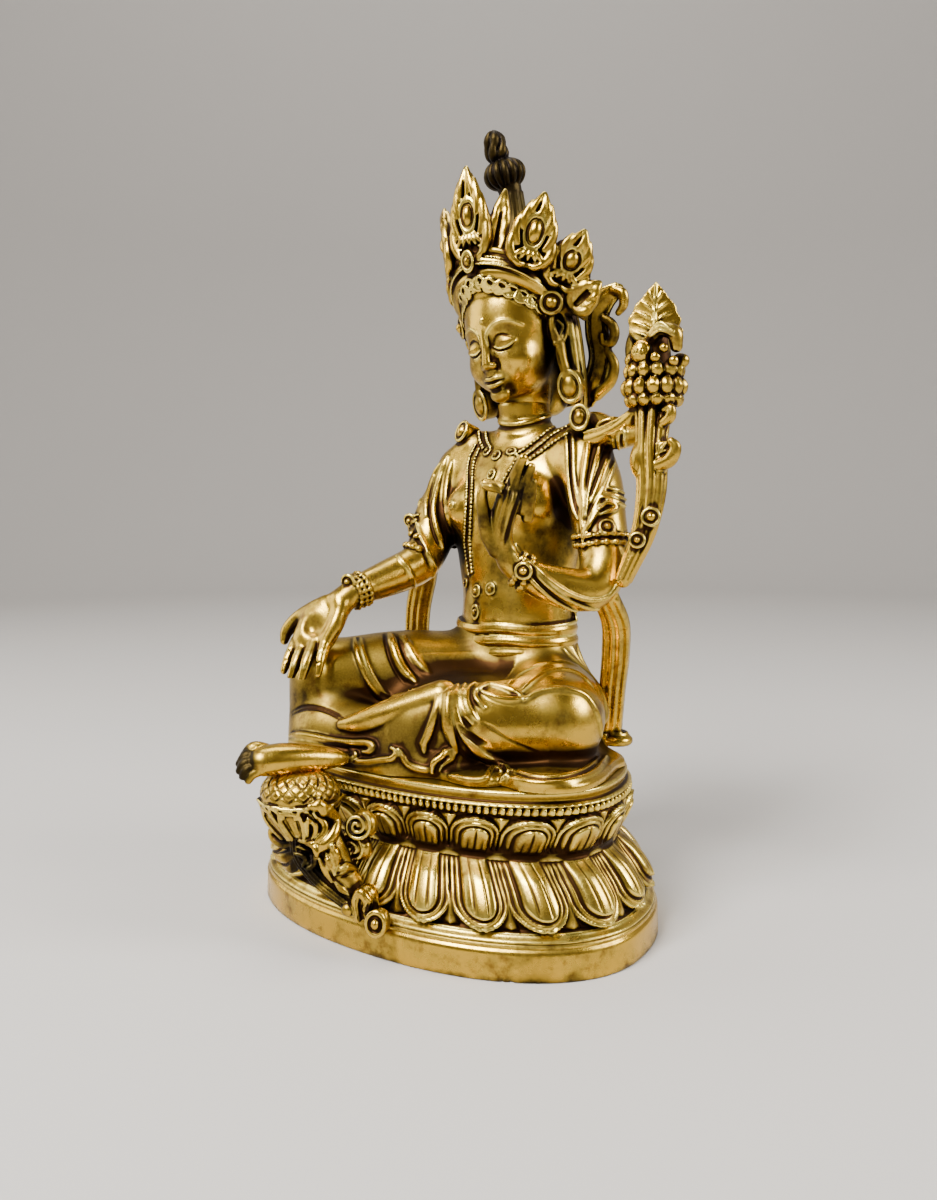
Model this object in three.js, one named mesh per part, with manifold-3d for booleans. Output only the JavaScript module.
// Seated goddess of gilt bronze, cast hollow, on her own double-lotus plinth.
// Millimetres, +Z up, origin at the centre of the plinth's underside, front towards -Y,
// her own left hand towards +X.
import * as THREE from "three";
import { mergeVertices } from "three/addons/utils/BufferGeometryUtils.js";
import Module from "manifold-3d";

const wasm = await Module();
wasm.setup();

// Plinth: plan
const plinthWidth = 100;
const plinthDepth = 71.2;
const frontDepth = 30.2; // from the widest line to the front
const planPower = 2.17; // 2 is an ellipse, more is squarer

// Plinth: heights of its courses, from the table up
const bandHeight = 6.4;
const stringHeight = 2.6; // two fine lines above the band
const lowerPetalHeight = 12.4;
const waistHeight = 1.8;
const upperPetalHeight = 8.4;
const beadHeight = 2.2;
const ledgeHeight = 2.9;

// Plinth: how far each course stands in from the foot
const bandInset = 0.5;
const stringInset = 1.0;
const lowerTipInset = 1.6;
const waistInset = 9.0;
const upperTipInset = 5.9;
const beadInset = 5.9;
const coveInset = 7.7;
const ledgeInset = 6.8;

// Plinth: petals
const petalCount = 20;
const columnsPerPetal = 4;
const petalRelief = 1.7;
const lowerArchRise = 5.2; // how much higher a petal's edge is at its sides than at its tip
const upperArchRise = 4.2;
const petalLip = 0.7;
const petalShadow = 0.3; // how far the ground drops behind a petal's edge
const lowerSwell = 1.9; // 1 is a straight flank, more is fuller
const upperSwell = 1.7;

// A join closer than this is closed up.
const joinTolerance = 0.3;

// Figure: from the seat to the finial. Her forms are drawn at a height of 145 and follow this one.
const figureHeight = 145;
const seatGap = 0.3;

// Foot lotus on the plinth
const podRadius = 8.6;
const podHeight = 7.5;
const footGap = 0.3;
const cupPetals = 8;
const cupPetalLength = 8.6;
const stalkRadius = 2.0;
const stalkCount = 2;
const knobRadius = 2.1;

// Sides of the round forms
const bodySides = 10;
const limbSides = 7;
const stemSides = 5;
const ribbonSides = 4;
const foldSides = 3;
const bluntEnd = 0.6; // how far a bar's end stands out, as a share of its radius

const plinthHeight =
  bandHeight + stringHeight + lowerPetalHeight + waistHeight + upperPetalHeight + beadHeight + ledgeHeight;
const seatHeight = plinthHeight + seatGap;
const scale = figureHeight / 145;
const widestY = frontDepth - plinthDepth / 2;

const gilt = new THREE.Color("#c69a3c");
const giltMetal = { color: gilt, roughness: 0.34, metalness: 1 };

// Closed bodies and their joins

// A ring of points for each level, joined side to side along the shorter diagonals, and closed at
// both ends on a hub that lies in the end's middle or where firstHub and lastHub say.
function loft(rings, { firstHub = null, lastHub = null } = {}) {
  const count = rings[0].length;
  const corners = rings.flat();
  const faces = [];
  for (let level = 0; level < rings.length - 1; level += 1) {
    for (let i = 0; i < count; i += 1) {
      const a = level * count + i;
      const b = level * count + ((i + 1) % count);
      const rising = corners[a].distanceTo(corners[b + count]);
      const falling = corners[b].distanceTo(corners[a + count]);
      if (rising < falling) faces.push(a, b, b + count, a, b + count, a + count);
      else faces.push(a, b, a + count, b, b + count, a + count);
    }
  }
  const closeEnd = (level, hub, flip) => {
    const middle = new THREE.Vector3();
    for (const point of rings[level]) middle.addScaledVector(point, 1 / count);
    corners.push(hub || middle);
    for (let i = 0; i < count; i += 1) {
      const a = level * count + i;
      const b = level * count + ((i + 1) % count);
      faces.push(...(flip ? [b, a, corners.length - 1] : [a, b, corners.length - 1]));
    }
  };
  closeEnd(0, firstHub, true);
  closeEnd(rings.length - 1, lastHub, false);
  const geometry = new THREE.BufferGeometry();
  geometry.setAttribute(
    "position",
    new THREE.Float32BufferAttribute(corners.flatMap((point) => point.toArray()), 3),
  );
  geometry.setIndex(faces);
  return geometry;
}

function solid(geometry) {
  const bare = geometry.index ? geometry.toNonIndexed() : geometry.clone();
  bare.deleteAttribute("normal");
  bare.deleteAttribute("uv");
  const merged = mergeVertices(bare, 1e-4);
  const points = merged.attributes.position.array;
  const faces = merged.index.array;
  let volume = 0;
  const corner = [new THREE.Vector3(), new THREE.Vector3(), new THREE.Vector3()];
  for (let i = 0; i < faces.length; i += 3) {
    corner.forEach((vertex, k) => vertex.fromArray(points, faces[i + k] * 3));
    volume += corner[0].dot(corner[1].clone().cross(corner[2]));
  }
  const triangles = Array.from(faces);
  if (volume < 0) triangles.reverse();
  const mesh = new wasm.Mesh({
    numProp: 3,
    vertProperties: Float32Array.from(points),
    triVerts: Uint32Array.from(triangles),
    tolerance: joinTolerance,
  });
  return new wasm.Manifold(mesh);
}

function joined(geometries) {
  let whole = solid(geometries[0]);
  for (const geometry of geometries.slice(1)) whole = whole.add(solid(geometry));
  return whole;
}

// Pockets that the joined forms close off are solid metal.
function filled(body) {
  return wasm.Manifold.compose(body.decompose().filter((part) => part.volume() > 0));
}

function geometryOf(body) {
  const mesh = filled(body).getMesh();
  const geometry = new THREE.BufferGeometry();
  geometry.setAttribute("position", new THREE.Float32BufferAttribute(mesh.vertProperties, 3));
  geometry.setIndex(Array.from(mesh.triVerts));
  return geometry;
}

// A round or flattened bar with blunt ends along a smooth line. Each stop is [x, y, z, radius].
// flat is the thickness across the bar as a share of its radius, along the direction that across gives.
function bar(stops, { sides = limbSides, steps = 3, flat = 1, across = null } = {}) {
  const places = stops.map(([x, y, z]) => new THREE.Vector3(x, y, z));
  const line = new THREE.CatmullRomCurve3(places, false, "centripetal");
  const sizes = new THREE.SplineCurve(stops.map((stop, i) => new THREE.Vector2(i, stop[3])));
  const frames = line.computeFrenetFrames(steps, false);
  const radiusAt = (step) => Math.max(0.2, sizes.getPoint(line.getUtoTmapping(step / steps)).y);
  const rings = [];
  for (let step = 0; step <= steps; step += 1) {
    const centre = line.getPointAt(step / steps);
    const thin = (across || frames.normals[step]).clone();
    thin.addScaledVector(frames.tangents[step], -thin.dot(frames.tangents[step])).normalize();
    const wide = new THREE.Vector3().crossVectors(frames.tangents[step], thin);
    const ring = [];
    for (let i = 0; i < sides; i += 1) {
      const turn = (2 * Math.PI * i) / sides;
      const point = centre.clone().addScaledVector(thin, radiusAt(step) * flat * Math.cos(turn));
      ring.push(point.addScaledVector(wide, radiusAt(step) * Math.sin(turn)));
    }
    rings.push(ring);
  }
  const firstHub = places[0].clone().addScaledVector(frames.tangents[0], -bluntEnd * radiusAt(0));
  const lastHub = places[places.length - 1].clone().addScaledVector(
    frames.tangents[steps],
    bluntEnd * radiusAt(steps),
  );
  return loft(rings, { firstHub, lastHub });
}

function egg(x, y, z, rx, ry, rz, around = 6, down = 3) {
  return new THREE.SphereGeometry(1, around, down).scale(rx, ry, rz).translate(x, y, z);
}

// A pointed leaf or flame, upright in XZ with its root at the origin, waved at its edge.
function leafPlate(height, width, thickness, lobes = 0) {
  const shape = new THREE.Shape();
  const steps = Math.max(6, 3 * lobes);
  const edge = (share) => {
    const belly = Math.sin(Math.PI * Math.pow(share, 0.8));
    const wave = lobes > 0 ? 1 + 0.16 * Math.cos(2 * Math.PI * lobes * share) : 1;
    return 0.5 * width * (0.25 * (1 - share) + 0.85 * belly * wave);
  };
  shape.moveTo(-edge(0), 0);
  for (let i = 1; i < steps; i += 1) shape.lineTo(-edge(i / steps), (height * i) / steps);
  shape.lineTo(0, height);
  for (let i = steps - 1; i >= 0; i -= 1) shape.lineTo(edge(i / steps), (height * i) / steps);
  shape.closePath();
  const plate = new THREE.ExtrudeGeometry(shape, { depth: thickness, bevelEnabled: false, steps: 1 });
  return plate.translate(0, 0, -thickness / 2).rotateX(Math.PI / 2);
}

// Plinth

function planPoint(angle, inset) {
  const c = Math.cos(angle);
  const s = Math.sin(angle);
  const halfWidth = plinthWidth / 2 - inset;
  const halfDepth = (s < 0 ? frontDepth : plinthDepth - frontDepth) - inset;
  const reach = Math.pow(
    Math.pow(Math.abs(c / halfWidth), planPower) + Math.pow(Math.abs(s / halfDepth), planPower),
    -1 / planPower,
  );
  return new THREE.Vector2(reach * c, widestY + reach * s);
}

// Directions from the widest line's middle that cut the outline into equal lengths, the first at the front.
function evenAngles(count, inset) {
  const fine = 1440;
  const lengths = [0];
  let before = planPoint(-Math.PI / 2, inset);
  for (let i = 1; i <= fine; i += 1) {
    const here = planPoint(-Math.PI / 2 + (2 * Math.PI * i) / fine, inset);
    lengths.push(lengths[i - 1] + here.distanceTo(before));
    before = here;
  }
  const angles = [];
  let i = 0;
  for (let k = 0; k < count; k += 1) {
    const wanted = (lengths[fine] * k) / count;
    while (lengths[i + 1] < wanted) i += 1;
    const part = (wanted - lengths[i]) / (lengths[i + 1] - lengths[i]);
    angles.push(-Math.PI / 2 + (2 * Math.PI * (i + part)) / fine);
  }
  return angles;
}

// Each level is a height and an inset for a share across the petal: 0 on its crest, 1 at its side.
function plinthLevels() {
  const stringTop = bandHeight + stringHeight;
  const lowerTop = stringTop + lowerPetalHeight;
  const upperFoot = lowerTop + waistHeight;
  const upperTop = upperFoot + upperPetalHeight;
  const beadTop = upperTop + beadHeight;
  const arch = (share) => 1 - Math.sqrt(Math.max(0, 1 - share * share));
  const crown = (share) => 1 - Math.pow(share, 2);
  const tip = (share) => stringTop + 0.5 + lowerArchRise * arch(share);
  const brow = (share) => upperTop - 0.5 - upperArchRise * arch(share);
  const fromTip = (z) => Math.pow((z - stringTop) / lowerPetalHeight, lowerSwell);
  const fromBrow = (z) => Math.pow((upperTop - z) / upperPetalHeight, upperSwell);
  const lowerInset = (z) => lowerTipInset + (waistInset - lowerTipInset) * fromTip(z);
  const upperInset = (z) => upperTipInset + (waistInset - upperTipInset) * fromBrow(z);
  const lowerFace = (share, z) => ({ z, inset: lowerInset(z) + petalRelief * (1 - crown(share)) });
  const upperFace = (share, z) => ({ z, inset: upperInset(z) + 0.8 * petalRelief * (1 - crown(share)) });
  const plain = (z, inset) => () => ({ z, inset });
  return [
    plain(0, 0.2),
    plain(bandHeight, bandInset),
    plain(bandHeight + 0.35 * stringHeight, stringInset),
    plain(stringTop, lowerTipInset + petalRelief),
    (share) => ({ z: tip(share), inset: lowerInset(tip(share)) + petalRelief + petalShadow }),
    (share) => lowerFace(share, tip(share) + petalLip),
    (share) => lowerFace(share, Math.max(tip(share) + 2 * petalLip, stringTop + 0.6 * lowerPetalHeight)),
    plain(lowerTop + 0.5 * waistHeight, waistInset),
    (share) => upperFace(share, Math.min(brow(share) - 2 * petalLip, upperFoot + 0.5 * upperPetalHeight)),
    (share) => upperFace(share, brow(share) - petalLip),
    (share) => ({ z: brow(share), inset: upperInset(brow(share)) + petalRelief + petalShadow }),
    plain(upperTop + 0.2 * beadHeight, beadInset + 0.5 * petalRelief),
    plain(upperTop + 0.6 * beadHeight, beadInset),
    plain(beadTop + 0.45 * ledgeHeight, coveInset),
    plain(beadTop + 0.8 * ledgeHeight, ledgeInset),
    plain(plinthHeight, ledgeInset + 0.5),
  ];
}

function lotusPlinth() {
  const columns = petalCount * columnsPerPetal;
  const angles = evenAngles(columns, waistInset / 2);
  const rings = plinthLevels().map((level) =>
    angles.map((angle, i) => {
      const phase = (i % columnsPerPetal) / columnsPerPetal;
      const share = 2 * Math.min(phase, 1 - phase);
      const { z, inset } = level(share);
      const point = planPoint(angle, inset);
      return new THREE.Vector3(point.x, point.y, z);
    }),
  );
  return loft(rings);
}

// Her pose. Places are x and y on the plinth and height above the seat, all at the design height.

const at = (x, y, z) => new THREE.Vector3(x * scale, y * scale, seatHeight + z * scale);

function limb(stops, options) {
  const placed = stops.map(([x, y, z, radius]) => [...at(x, y, z).toArray(), radius * scale]);
  return bar(placed, options);
}

function ball(x, y, z, rx, ry = rx, rz = rx, around = 6, down = 3) {
  return egg(...at(x, y, z).toArray(), rx * scale, ry * scale, rz * scale, around, down);
}

const fold = { sides: foldSides, steps: 4 };
const stem = { sides: stemSides, steps: 4 };
const ribbon = { sides: ribbonSides, steps: 4 };

// Torso from the seat to the neck: height, middle x, middle y, half width, half depth
const hipLevels = [
  [0, 4, 16.5, 23, 16],
  [9, 4, 16.5, 21.4, 15.2],
  [17, 5, 17, 17.2, 12.8],
];
const sashFoot = 21;
const sashRolls = 3;
const sashRollHeight = 2.8;
const sashBulge = 1.1;
const waist = [5.4, 17, 14.9, 11.6];
const chestLevels = [
  [35, 5.4, 17.4, 14.2, 11.2],
  [46, 5, 18, 15.8, 11.8],
  [56, 4.9, 18.5, 17.2, 12],
  [63.6, 5.3, 19, 19.4, 10.4],
  [69.2, 5.4, 19.6, 17.4, 8],
  [73.4, 5.6, 20.4, 7.6, 6.6],
  [83, 5.6, 20, 6.1, 6.1],
];

function torsoLevels() {
  const [x, y, halfWidth, halfDepth] = waist;
  const levels = [...hipLevels, [sashFoot, ...waist]];
  for (let roll = 0; roll < sashRolls; roll += 1) {
    const foot = sashFoot + roll * sashRollHeight;
    levels.push([foot + 0.5 * sashRollHeight, x, y, halfWidth + sashBulge, halfDepth + sashBulge]);
    levels.push([foot + sashRollHeight, ...waist]);
  }
  return [...levels, ...chestLevels];
}

// A place on the front of the torso, standing out from it by lift
function onTorso(x, z, lift) {
  const levels = torsoLevels();
  const above = Math.max(1, levels.findIndex((level) => level[0] >= z));
  const [low, high] = [levels[above - 1], levels[above]];
  const part = (z - low[0]) / (high[0] - low[0]);
  const [, middleX, middleY, halfWidth, halfDepth] = low.map((value, i) => value + part * (high[i] - value));
  const across = THREE.MathUtils.clamp((x - middleX) / halfWidth, -0.95, 0.95);
  return [x, middleY - (halfDepth + lift) * Math.sqrt(1 - across * across), z];
}

function torso() {
  const rings = torsoLevels().map(([z, x, y, halfWidth, halfDepth]) => {
    const ring = [];
    for (let i = 0; i < bodySides; i += 1) {
      const turn = (2 * Math.PI * i) / bodySides;
      ring.push(at(x + halfWidth * Math.cos(turn), y + halfDepth * Math.sin(turn), z));
    }
    return ring;
  });
  return [
    loft(rings),
    ball(-3.8, 9, 57, 5.4, 4.6, 5, 7, 4),
    ball(13.6, 9, 58, 5.4, 4.6, 5, 7, 4),
  ];
}

// Cloth spread on the ledge, its hem in scallops
const hemSetback = 1.6;
const hemScallops = 13;
const columnsPerScallop = 3;
const hemWave = 0.9;
const clothCourses = [
  { height: 0, more: 0, wave: 1 },
  { height: 2.2, more: 2.4, wave: 0.8 },
  { height: 5, more: 10, wave: 0 },
];

function spreadCloth() {
  const columns = hemScallops * columnsPerScallop;
  const angles = evenAngles(columns, ledgeInset);
  const rings = clothCourses.map(({ height, more, wave }) =>
    angles.map((angle, i) => {
      const ripple = hemWave * wave * Math.cos((2 * Math.PI * i) / columnsPerScallop);
      const point = planPoint(angle, ledgeInset + hemSetback + more + ripple);
      return new THREE.Vector3(point.x, point.y, seatHeight + height * scale);
    }),
  );
  return loft(rings);
}

function legs() {
  const lap = ball(3, -3, 8, 24, 15, 11, 10, 5);
  const rightThigh = limb([[-3, 12, 14, 11.5], [-14, -1, 16.6, 10.6], [-25.6, -14.6, 16.6, 9.6]]);
  const rightShin = limb(
    [[-27, -15.4, 15.6, 9.4], [-25.4, -17.6, 8.4, 9], [-18.4, -22.4, 5.8, 7.2], [-9.4, -29.6, 5.4, 4.6]],
    { steps: 5 },
  );
  const leftThigh = limb([[13, 14, 10, 12], [21.6, 7.4, 10.6, 11.6], [27, -0.6, 10.2, 10.4]]);
  const leftShin = limb(
    [
      [26.4, 0.4, 10, 9.4], [16, -11, 10.4, 8.6], [8, -17, 12, 6.2], [-3, -21.6, 11.4, 4.4],
      [-13, -24.4, 9.4, 2.7],
    ],
    { steps: 6 },
  );
  return [lap, rightThigh, rightShin, leftThigh, leftShin];
}

// Raised folds: over the right thigh, fanned down from the left shin, and hems round the left knee
const thighFolds = [[-6, 1.2], [2, 1.4]];
const fanFolds = 3;
const kneeHems = 2;

function folds() {
  const bars = thighFolds.map(([shift, radius]) =>
    limb(
      [
        [-13 + shift, 7, 24, radius], [-14 + shift, -2, 26.6, radius], [-13 + shift, -10, 23, radius],
        [-8 + shift, -16, 16, radius],
      ],
      fold,
    ),
  );
  for (let i = 0; i < fanFolds; i += 1) {
    const spread = i / (fanFolds - 1);
    bars.push(
      limb(
        [
          [2 + 4 * spread, -18.5, 17, 1], [2 + 10 * spread, -23 + 2 * spread, 9, 1.4],
          [-2 + 20 * spread, -26.5 + 3 * spread, 2.4, 1.4],
        ],
        fold,
      ),
    );
  }
  for (let i = 0; i < kneeHems; i += 1) {
    const out = 2.2 * i;
    const low = 3.4 - 1.1 * i;
    bars.push(
      limb(
        [
          [13, -19 - out, low, 1.1], [27, -11 - out, low, 1.1], [35 + 0.6 * out, -2, low, 1.1],
          [35.4 + 0.8 * out, 8, low + 0.6, 1],
        ],
        fold,
      ),
    );
  }
  bars.push(
    limb([[12, -13.4, 17.4, 1.2], [20, -8, 18.8, 1.3], [28, -4.4, 18.4, 1.2], [34, 0, 14.6, 1]], fold),
  );
  bars.push(
    limb(
      [[-36, -12, 3.4, 1.5], [-30.5, -21.4, 3.4, 1.5], [-20, -26.6, 3.2, 1.4], [-11, -25.6, 2, 1.4]],
      fold,
    ),
  );
  return bars;
}

const ankle = [-9.2, -30.6, 5.2];
const toes = [-19.4, -46.2, 4.8];
const soleDrop = 2.9;

function bareFoot() {
  const [ax, ay, az] = ankle;
  const [tx, ty, tz] = toes;
  const pieces = [
    limb(
      [
        [ax + 3, ay + 4.6, az + 0.6, 4.6], [ax, ay, az, 3.7],
        [(ax + tx) / 2, (ay + ty) / 2, az - 0.2, 3], [tx, ty, tz - 0.4, 2.5],
      ],
      { sides: 6 },
    ),
  ];
  for (let toe = 0; toe < 5; toe += 1) {
    const side = toe - 2;
    const radius = toe === 4 ? 1.4 : 1;
    pieces.push(ball(tx - 0.8 + 1.2 * side, ty - 1.8 - 0.7 * side, tz - 0.2, radius, 1.9, radius, 4, 3));
  }
  return pieces;
}

// Arms and hands
const palmNormal = new THREE.Vector3(0.45, -0.8, 0.35).normalize();
const raisedPalmNormal = new THREE.Vector3(-0.5, -0.85, 0.1).normalize();
const finger = { sides: 4, steps: 2 };

function rightArm() {
  const pieces = [
    limb(
      [
        [-12.6, 19, 65, 6.6], [-14.8, 12, 54.5, 6.2], [-13.4, 4.5, 44, 5], [-16.5, -6, 40.3, 4.1],
        [-20, -16.6, 36.3, 3],
      ],
      { steps: 5 },
    ),
    limb(
      [[-20, -16.6, 36.3, 3], [-22.8, -19.8, 32.4, 4.6], [-24.8, -22.8, 26.6, 5]],
      { sides: 6, steps: 2, flat: 0.55, across: palmNormal },
    ),
    limb([[-25.4, -18.6, 30, 1.8], [-29.6, -19.4, 25.4, 1.7], [-31, -20.6, 20.4, 1.3]], finger),
  ];
  for (const [over, length] of [[-1.5, 10.2], [-0.5, 11.8], [0.5, 11.4], [1.5, 9.4]]) {
    const [x, y, z] = [-24.8 + 2 * over, -23.3 + 0.5 * over, 27 - 0.6 * over];
    pieces.push(
      limb(
        [[x, y, z, 1.4], [x - 0.4, y - 2.2, z - 0.5 * length, 1.3], [x - 0.2, y - 3, z - length, 1]],
        finger,
      ),
    );
  }
  return pieces;
}

function leftArm() {
  const pieces = [
    limb(
      [
        [23.5, 17.4, 68, 6.7], [29.5, 13, 56, 6.2], [34.8, 7.8, 41.6, 5.3], [31, 0, 40.4, 4.6],
        [23.4, -8.6, 43.6, 3.1],
      ],
      { steps: 5 },
    ),
    limb(
      [[23.4, -8.6, 43.6, 3.1], [21.4, -10, 49, 3.7], [21.6, -10.2, 54.4, 3.7]],
      { sides: 6, steps: 2, flat: 0.55, across: raisedPalmNormal },
    ),
    limb([[19.4, -10.4, 49.4, 1.8], [16.8, -11.6, 54.6, 1.5], [16.2, -11.6, 58.6, 1.2]], finger),
    limb([[19.8, -10.6, 54.6, 1.5], [18.4, -12, 58.8, 1.4], [16.4, -11.8, 59.4, 1.2]], finger),
  ];
  for (const over of [-0.7, 0.5, 1.7]) {
    const tip = 65.4 - 1.4 * Math.abs(over);
    pieces.push(
      limb(
        [
          [21.4 + 1.4 * over, -10.6 + 0.9 * over, 54.6, 1.5],
          [22 + 1.6 * over, -11.8 + 0.9 * over, 60.4, 1.4],
          [22.6 + 1.4 * over, -11.2 + 0.9 * over, tip, 1.1],
        ],
        finger,
      ),
    );
  }
  return pieces;
}

// A ring of metal round a limb, set square to a direction
function bangle([x, y, z], direction, radius, thickness) {
  const ring = new THREE.TorusGeometry(radius * scale, thickness * scale, 3, 7);
  const square = new THREE.Quaternion().setFromUnitVectors(
    new THREE.Vector3(0, 0, 1),
    new THREE.Vector3(...direction).normalize(),
  );
  return ring.applyQuaternion(square).translate(...at(x, y, z).toArray());
}

const strandLift = 0.4;

function strand(places, radius, steps) {
  return limb(places.map(([x, z]) => [...onTorso(x, z, strandLift), radius]), { sides: foldSides, steps });
}

// Ringed gems on the chest: x, height and radius
const necklaceGems = [[2, 68.6, 1.5], [5.2, 67.4, 1.6], [8.4, 68.6, 1.5], [4.8, 63.6, 1.6]];
const strandGems = [[-1, 37.6, 1.5], [1.8, 35.6, 1.8], [4.8, 37.2, 1.6], [1.6, 31.2, 1.8]];
const gemLift = 0.2;
const gemDepth = 1.6;

function jewellery() {
  const pieces = [
    bangle([-19, -14, 37.4], [-0.3, -0.9, -0.33], 3.3, 1.1),
    bangle([23.9, -7.6, 43.4], [-0.62, -0.68, 0.35], 3.4, 1.1),
    bangle([-14.4, 8.6, 49.6], [0, 0.6, 0.85], 5.3, 0.9),
    bangle([32.4, 10.2, 48.4], [-0.26, 0.25, 0.95], 5.4, 0.9),
    ball(-22.4, -15.4, 39.4, 2, 2, 1.8),
    ball(27.4, -8.4, 44, 1.9, 1.9, 1.9),
    ball(33, 6.6, 54, 1.8, 1.9, 1.9),
    ball(-18.6, 6, 50.6, 1.8, 1.9, 1.8),
    strand(
      [
        [-3.6, 71], [-2.6, 64], [-1.6, 54], [-0.8, 44], [1.6, 38], [6.2, 42], [9.4, 52], [14, 63],
        [17.4, 68.4],
      ],
      0.9,
      9,
    ),
  ];
  for (const [x, z, radius] of [...necklaceGems, ...strandGems]) {
    const [, y] = onTorso(x, z, gemLift);
    pieces.push(ball(x, y, z, radius, gemDepth, radius, 4, 3));
  }
  return pieces;
}

// Shawl over the shoulders, and the scarf that runs from the elbows down to the ledge
function scarf() {
  const pleat = (places) => limb(places.map((place) => [...place, 1.5]), { sides: foldSides, steps: 3 });
  return [
    limb(
      [
        [15, 16.4, 73.4, 2], [23.6, 15.4, 74.6, 2.6], [30.5, 14, 69, 2.4], [33.6, 10, 60, 1.8],
        [31.6, 7, 54, 1.4],
      ],
      ribbon,
    ),
    pleat([[18, 11.4, 71.6], [22.8, 9.4, 62], [26.8, 7.2, 51]]),
    pleat([[22.4, 12.4, 72.6], [27, 10, 63], [30, 7.4, 55]]),
    pleat([[-7.6, 14, 70.4], [-11.2, 10.6, 61], [-13, 6, 51]]),
    pleat([[-11, 15.6, 71], [-17, 12.4, 61], [-18.4, 7.4, 51.5]]),
    limb(
      [
        [26.4, -8, 41.4, 1.2], [32, -2.8, 36.8, 1.8], [37.6, 3.6, 35.6, 2], [40.2, 7, 40, 2],
        [41, 8, 48, 1.6], [42.4, 8, 54, 1.4],
      ],
      { sides: ribbonSides, steps: 7 },
    ),
    limb([[37, 8, 36.5, 2.6], [34.6, 13, 26, 2.4], [31, 19, 14, 2.2], [27.4, 24.6, 2.4, 2.3]], ribbon),
    limb(
      [
        [-16, 8.6, 45, 2.6], [-22.4, 13.6, 36, 2.4], [-26.4, 17.4, 24, 2.4], [-26, 20.6, 11, 2.6],
        [-23, 21.6, 2.6, 2.6],
      ],
      ribbon,
    ),
    ball(26.6, 24.6, 2.2, 3.2, 3, 2.2),
  ];
}

// A closed form of tiers of rounded petals round an upright line: each tier is [height, radius], and
// the petals of one tier stand in the gaps of the next.
function petalTiers(tiers, petals, depth) {
  const columns = 2 * petals;
  const rings = tiers.map(([height, radius], tier) => {
    const ring = [];
    for (let i = 0; i < columns; i += 1) {
      const turn = (2 * Math.PI * i) / columns;
      const reach = radius * (1 - depth * ((i + tier) % 2));
      ring.push(new THREE.Vector3(reach * Math.cos(turn), reach * Math.sin(turn), height));
    }
    return ring;
  });
  return loft(rings);
}

// Lotus spray beside the left shoulder: stems, knot, cup of petals and a tip leaf
const sprayTiers = [[77.4, 2.2], [81, 6.4], [84.4, 5.4], [87, 6.8], [90, 4.8], [92.6, 5.6], [95.4, 2.4]];

function lotusSpray() {
  const foot = at(43.4, 12, 0);
  const tip = leafPlate(13.4 * scale, 9 * scale, 2.2 * scale).rotateZ(0.5);
  return [
    limb([[40.6, 7.6, 50, 2], [43.6, 8.4, 60, 2.6], [43.8, 10, 70, 2.5], [43.6, 12, 78.4, 1.8]], stem),
    limb([[38.4, 9.4, 64, 2], [43, 8.2, 68, 2.8], [47.4, 9, 71, 1.8]], { sides: stemSides, steps: 2 }),
    limb([[27, 14.6, 71, 2.6], [34, 13, 72, 2.4], [41.4, 11.6, 78, 1.8]], { sides: stemSides, steps: 2 }),
    petalTiers(sprayTiers, 6, 0.3).scale(scale, 0.85 * scale, scale).translate(foot.x, foot.y, foot.z),
    tip.translate(...at(43.8, 11.6, 91.4).toArray()),
  ];
}

// Head, in its own frame: face towards -Y, bowed, tilted and turned a little
const headPlace = new THREE.Object3D();
headPlace.position.copy(at(5.2, 16.8, 97.4));
headPlace.rotation.set(0.25, -0.09, -0.1, "ZYX");
headPlace.scale.setScalar(scale);
headPlace.updateMatrix();

// Skull from chin to crown: height, middle y, half width, half depth
const skullLevels = [
  [-14.6, -7, 2.4, 2],
  [-12.6, -5, 5.6, 5.6],
  [-9, -1.8, 8.8, 9.8],
  [-3, 0.4, 11, 12.4],
  [4, 1.2, 12, 13.2],
  [11, 2, 11.6, 12],
  [16, 2.6, 8.8, 9.4],
  [19, 3, 4.4, 5],
];

// Crown leaves: turn round the head, root, height, width, lean outward
const crownLeaves = [
  { turn: 0, root: [0, -8.4, 17.4], height: 20, width: 11, lean: -0.18 },
  { turn: 58, root: [10.2, -5, 14.4], height: 15, width: 9.6, lean: 0.16 },
  { turn: 84, root: [12.6, 0.6, 9], height: 12, width: 9, lean: 0.34 },
];

function crownLeaf({ turn, root, height, width, lean }, side) {
  const leaf = leafPlate(height, width, 2.2, 2);
  const jewel = egg(0, -1.2, 0.42 * height, 0.2 * width, 1.1, 0.19 * height, 4, 3);
  const [x, y, z] = root;
  return [leaf, jewel].map((piece) =>
    piece
      .rotateX(lean)
      .rotateZ(side * THREE.MathUtils.degToRad(turn))
      .translate(side * x, y, z),
  );
}

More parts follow.
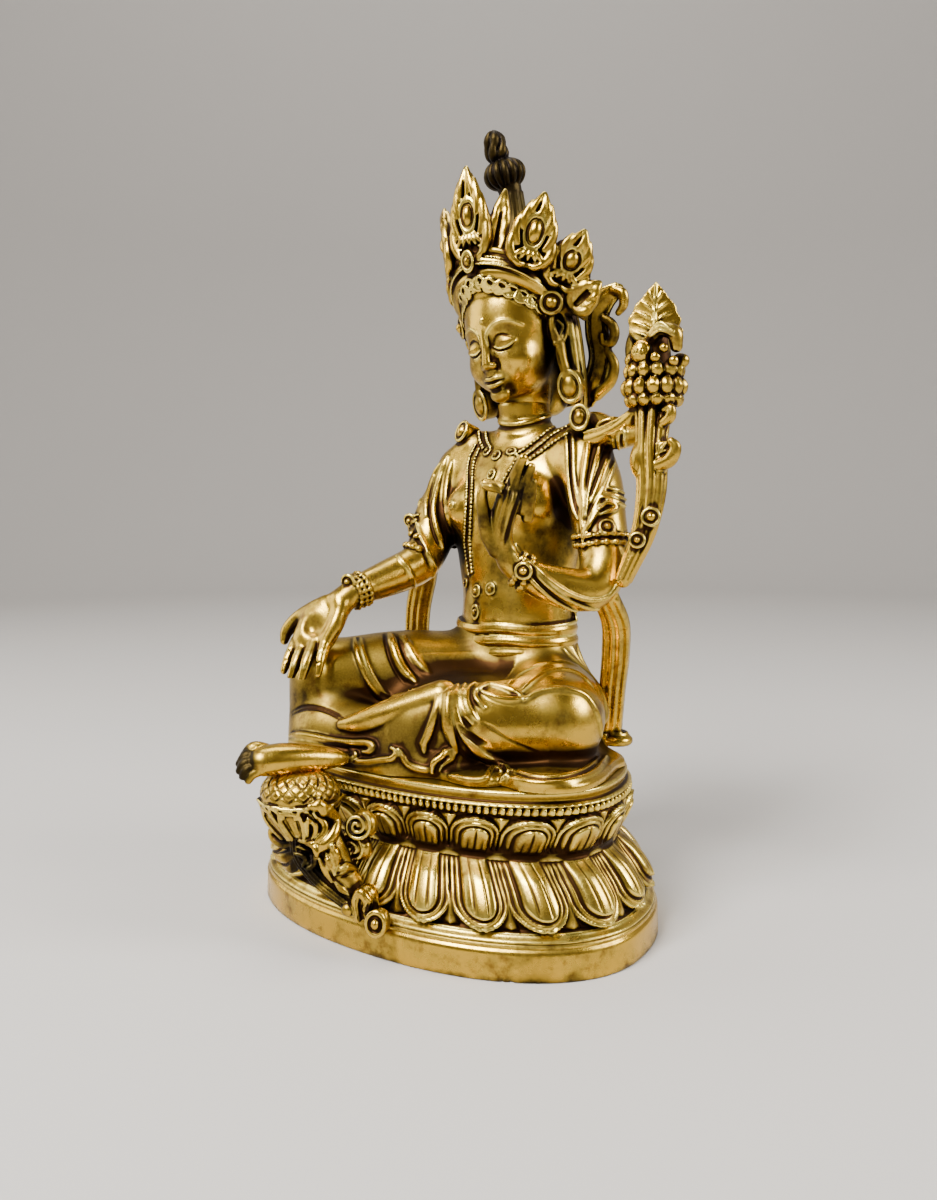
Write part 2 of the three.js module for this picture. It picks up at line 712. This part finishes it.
function head() {
  const rings = skullLevels.map(([z, y, halfWidth, halfDepth]) => {
    const ring = [];
    for (let i = 0; i < bodySides; i += 1) {
      const turn = (2 * Math.PI * i) / bodySides;
      ring.push(new THREE.Vector3(halfWidth * Math.cos(turn), y + halfDepth * Math.sin(turn), z));
    }
    return ring;
  });
  const pieces = [
    loft(rings),
    bar(
      [
        [-12.6, 1.6, 5, 1.6], [-11.2, -3.6, 12, 1.6], [-6, -7.8, 16.4, 1.7], [0, -9.2, 18, 1.8],
        [6, -7.8, 16.4, 1.7], [11.2, -3.6, 12, 1.6], [12.6, 1.6, 5, 1.6],
      ],
      { sides: 4, steps: 8 },
    ),
    bar([[0, -10.6, 1.5, 1], [0, -12.2, -2.6, 1.4], [0, -12.9, -5, 1.8]], { sides: 4, steps: 2 }),
    egg(0, -9, -12.2, 2.8, 2.2, 2),
    ...crownLeaf(crownLeaves[0], 1),
    bar(
      [[0, 5, 15, 6.4], [-0.4, 7, 21, 3.6], [-1, 8.6, 28, 2.6], [-1.4, 9.8, 34, 2.8]],
      { sides: 6, steps: 4 },
    ),
    egg(-1.6, 10.4, 36.6, 4.9, 4.6, 3.5, 7, 4),
    egg(-1.8, 9.6, 42.6, 2.9, 2.9, 4, 6, 4),
  ];
  for (const side of [-1, 1]) {
    pieces.push(
      ...crownLeaf(crownLeaves[1], side),
      ...crownLeaf(crownLeaves[2], side),
      bar([[11.6 * side, 1.8, -1, 1.8], [12.4 * side, 0, -12, 1.4]], { sides: foldSides, steps: 1 }),
      egg(13.2 * side, -0.6, -13.6, 2, 2.9, 3.4),
      egg(13.4 * side, 2.4, 7.4, 3.4, 4.4, 3.8),
      bar(
        [
          [12 * side, 5, 6, 3.6], [12.4 * side, 6.4, -4, 3.4], [11.4 * side, 7.4, -13, 3.2],
          [9 * side, 7, -21, 3],
        ],
        { sides: ribbonSides, steps: 3 },
      ),
      bar(
        [
          [10 * side, 8, -17, 2.4], [15 * side, 9.6, -11, 2.6], [16 * side, 12, -2, 2.6],
          [18 * side, 13, 4, 2.2], [21 * side, 14, 8.4, 1.6],
        ],
        ribbon,
      ),
    );
  }
  return pieces.map((piece) => piece.applyMatrix4(headPlace.matrix));
}

function shoulderDiscs() {
  return [ball(23.4, 12.8, 75.8, 2.4, 2.8, 3.2), ball(-9.6, 17.4, 73.2, 2.4, 2.8, 3.4)];
}

function figureBody() {
  const body = joined([
    ...torso(),
    spreadCloth(),
    ...legs(),
    ...folds(),
    ...bareFoot(),
    ...rightArm(),
    ...leftArm(),
    ...jewellery(),
    ...scarf(),
    ...lotusSpray(),
    ...head(),
    ...shoulderDiscs(),
  ]);
  const room = 4 * figureHeight;
  const aboveSeat = new THREE.BoxGeometry(room, room, room).translate(0, 0, seatHeight + room / 2);
  return body.intersect(solid(aboveSeat));
}

// The lotus under her right foot grows out of the plinth's front on stalks that start near its foot.
function footLotus() {
  const middle = at(
    (ankle[0] + toes[0]) / 2,
    (ankle[1] + toes[1]) / 2,
    Math.min(ankle[2], toes[2]) - soleDrop,
  );
  const [x, y] = [middle.x, middle.y];
  const rim = middle.z - footGap - podHeight;
  const stalkFoot = bandHeight + stringHeight;
  const wall = planPoint(-Math.PI / 2 + 0.1, lowerTipInset);
  const cup = [
    [-podHeight - cupPetalLength, 0.45 * podRadius],
    [-podHeight - 0.8 * cupPetalLength, 0.7 * podRadius],
    [-podHeight - 0.35 * cupPetalLength, 0.98 * podRadius],
    [-podHeight, 1.08 * podRadius],
  ];
  const dome = [0.45, 0.85].map(
    (share) => [-podHeight * (1 - share), podRadius * Math.sqrt(1 - share * share)],
  );
  const flower = petalTiers([...cup, ...dome, [0, 0.12 * podRadius]], cupPetals, 0.12);
  const pieces = [flower.translate(x, y, rim + podHeight)];
  for (let i = 0; i < stalkCount; i += 1) {
    const side = 1.3 * stalkRadius * (i - 0.5 * (stalkCount - 1));
    const towards = (share) => x + share * (wall.x - x) + side;
    pieces.push(
      bar(
        [
          [towards(0), y + 1.5, rim - 4, 2.4 * stalkRadius],
          [towards(0.35), y + 1, rim - 0.42 * (rim - stalkFoot), 1.8 * stalkRadius],
          [towards(0.7), 0.5 * (y + wall.y), stalkFoot + 5, 1.2 * stalkRadius],
          [towards(1), wall.y - 0.4, stalkFoot + 0.6, stalkRadius],
        ],
        { sides: 6, steps: 4 },
      ),
    );
  }
  pieces.push(
    egg(wall.x + 3.4, wall.y - 0.6, stalkFoot - 0.2, knobRadius, knobRadius, knobRadius),
    egg(x + 0.9 * podRadius, y + 0.68 * podRadius, rim - 0.8 * podRadius, 3, 3.4, 5),
    egg(x - 0.35 * podRadius, y + 0.56 * podRadius, rim - 1.16 * podRadius, 5, 4.6, 4.4),
  );
  return pieces;
}

function plinthBody() {
  return joined([lotusPlinth(), ...footLotus()]);
}

const statue = new THREE.Group();

function addPiece(name, body) {
  const mesh = new THREE.Mesh(geometryOf(body), new THREE.MeshStandardMaterial(giltMetal));
  mesh.name = name;
  statue.add(mesh);
}

addPiece("figure", figureBody());
addPiece("plinth", plinthBody());

export default statue;
